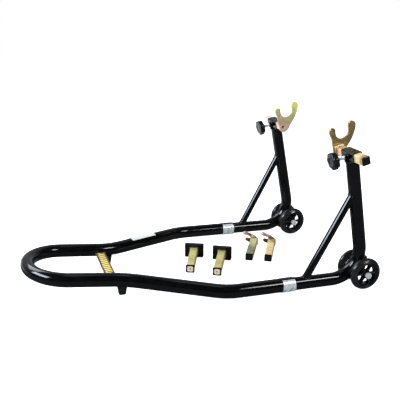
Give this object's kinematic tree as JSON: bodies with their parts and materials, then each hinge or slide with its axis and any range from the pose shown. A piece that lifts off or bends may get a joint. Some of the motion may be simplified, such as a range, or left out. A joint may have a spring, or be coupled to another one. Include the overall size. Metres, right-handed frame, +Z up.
{
  "type": "motorcycle paddock stand",
  "caption": "Low tubular stand on small wheels with a loop handle and two upright forks that lift a motorcycle's rear wheel; spare pad and hook adapters lie inside its frame.",
  "frame": {"origin": "on the floor, under the middle of the whole stand's box", "axes": "+Z up; +X from the handle towards the wheels; +Y to the left of someone at the handle who faces the wheels"},
  "size_m": [0.7955, 0.518, 0.3827],
  "materials": {
    "black_paint": "glossy black powder coat",
    "yellow_zinc": "iridescent yellow passivated zinc",
    "bright_zinc": "bright zinc plate",
    "black_plastic": "satin moulded black plastic",
    "black_rubber": "matt black rubber",
    "foil": "thin silver foil wrapped round the tube",
    "white_label": "blank white film",
    "gold_label": "gold film with a plain dark pattern"
  },
  "bodies": {
    "frame": {"main_tube": "black_paint", "cross_strap": "bright_zinc", "strap_label": "gold_label", "rail_label": "white_label", "foot_left": "black_rubber", "foot_screw_left": "bright_zinc", "leg_tube_left": "black_paint", "joint_band_left": "foil", "brace_left": "black_paint", "sleeve_left": "black_paint", "clamp_nut_left": "black_paint", "axle_bracket_left": "black_paint", "axle_bolt_left": "bright_zinc", "axle_nut_left": "bright_zinc", "foot_right": "black_rubber", "foot_screw_right": "bright_zinc", "leg_tube_right": "black_paint", "joint_band_right": "foil", "brace_right": "black_paint", "sleeve_right": "black_paint", "clamp_nut_right": "black_paint", "axle_bracket_right": "black_paint", "axle_bolt_right": "bright_zinc", "axle_nut_right": "bright_zinc"},
    "wheel_left_outer": {"wheel_rim_left_outer": "black_plastic", "tyre_left_outer": "black_rubber"},
    "wheel_left_inner": {"wheel_rim_left_inner": "black_plastic", "tyre_left_inner": "black_rubber"},
    "wheel_right_outer": {"wheel_rim_right_outer": "black_plastic", "tyre_right_outer": "black_rubber"},
    "wheel_right_inner": {"wheel_rim_right_inner": "black_plastic", "tyre_right_inner": "black_rubber"},
    "adapter_left": {"adapter_tube_left": "yellow_zinc", "fork_left": "yellow_zinc", "adapter_cap_left": "black_plastic"},
    "clamp_stud_left": {"clamp_stud_left": "bright_zinc"},
    "clamp_knob_left": {"clamp_knob_left": "black_plastic"},
    "adapter_right": {"adapter_tube_right": "yellow_zinc", "fork_right": "yellow_zinc", "adapter_cap_right": "black_plastic"},
    "clamp_stud_right": {"clamp_stud_right": "bright_zinc"},
    "clamp_knob_right": {"clamp_knob_right": "black_plastic"},
    "pad_adapter_a": {"pad_adapter_a_tube": "yellow_zinc", "pad_adapter_a_collar": "black_plastic", "pad_adapter_a_plate": "black_paint", "pad_adapter_a_rubber": "black_rubber"},
    "pad_adapter_b": {"pad_adapter_b_tube": "yellow_zinc", "pad_adapter_b_collar": "black_plastic", "pad_adapter_b_plate": "black_paint", "pad_adapter_b_rubber": "black_rubber"},
    "hook_adapter_a": {"hook_adapter_a_tube": "yellow_zinc", "hook_adapter_a_cap": "black_plastic", "hook_adapter_a_fork": "yellow_zinc"},
    "hook_adapter_b": {"hook_adapter_b_tube": "yellow_zinc", "hook_adapter_b_cap": "black_plastic", "hook_adapter_b_fork": "yellow_zinc"}
  },
  "joints": [
    {"name": "wheel_left_outer_spin", "type": "hinge", "parent": "frame", "child": "wheel_left_outer", "pos_m": [0.36, 0.2213, 0.038], "axis": [0, 1, 0], "continuous": true},
    {"name": "wheel_left_inner_spin", "type": "hinge", "parent": "frame", "child": "wheel_left_inner", "pos_m": [0.36, 0.1637, 0.038], "axis": [0, 1, 0], "continuous": true},
    {"name": "wheel_right_outer_spin", "type": "hinge", "parent": "frame", "child": "wheel_right_outer", "pos_m": [0.36, -0.2213, 0.038], "axis": [0, 1, 0], "continuous": true},
    {"name": "wheel_right_inner_spin", "type": "hinge", "parent": "frame", "child": "wheel_right_inner", "pos_m": [0.36, -0.1637, 0.038], "axis": [0, 1, 0], "continuous": true},
    {"name": "adapter_left_slide", "type": "slide", "parent": "frame", "child": "adapter_left", "axis": [0, 1, 0], "range_m": [-0.03, 0.023]},
    {"name": "clamp_stud_left_slide", "type": "slide", "parent": "frame", "child": "clamp_stud_left", "axis": [-0.9703, 0, -0.2419], "range_m": [0, 0.0025]},
    {"name": "clamp_knob_left_turn", "type": "hinge", "parent": "clamp_stud_left", "child": "clamp_knob_left", "pos_m": [0.3104, 0.1997, 0.3165], "axis": [-0.9703, 0, -0.2419], "range_deg": [0, 720]},
    {"name": "adapter_right_slide", "type": "slide", "parent": "frame", "child": "adapter_right", "axis": [0, -1, 0], "range_m": [-0.03, 0.023]},
    {"name": "clamp_stud_right_slide", "type": "slide", "parent": "frame", "child": "clamp_stud_right", "axis": [-0.9703, 0, -0.2419], "range_m": [0, 0.0025]},
    {"name": "clamp_knob_right_turn", "type": "hinge", "parent": "clamp_stud_right", "child": "clamp_knob_right", "pos_m": [0.3104, -0.1997, 0.3165], "axis": [-0.9703, 0, -0.2419], "range_deg": [0, 720]},
    {"name": "pad_adapter_a_lift", "type": "slide", "parent": "frame", "child": "pad_adapter_a", "axis": [0, 0, 1], "range_m": [0, 0.3]},
    {"name": "pad_adapter_b_lift", "type": "slide", "parent": "frame", "child": "pad_adapter_b", "axis": [0, 0, 1], "range_m": [0, 0.3]},
    {"name": "hook_adapter_a_lift", "type": "slide", "parent": "frame", "child": "hook_adapter_a", "axis": [0, 0, 1], "range_m": [0, 0.3]},
    {"name": "hook_adapter_b_lift", "type": "slide", "parent": "frame", "child": "hook_adapter_b", "axis": [0, 0, 1], "range_m": [0, 0.3]}
  ],
  "couplings": [
    {"joint": "clamp_knob_left_turn", "follows": "clamp_stud_left_slide", "rad_per_m": 5026.5},
    {"joint": "clamp_knob_right_turn", "follows": "clamp_stud_right_slide", "rad_per_m": 5026.5}
  ]
}
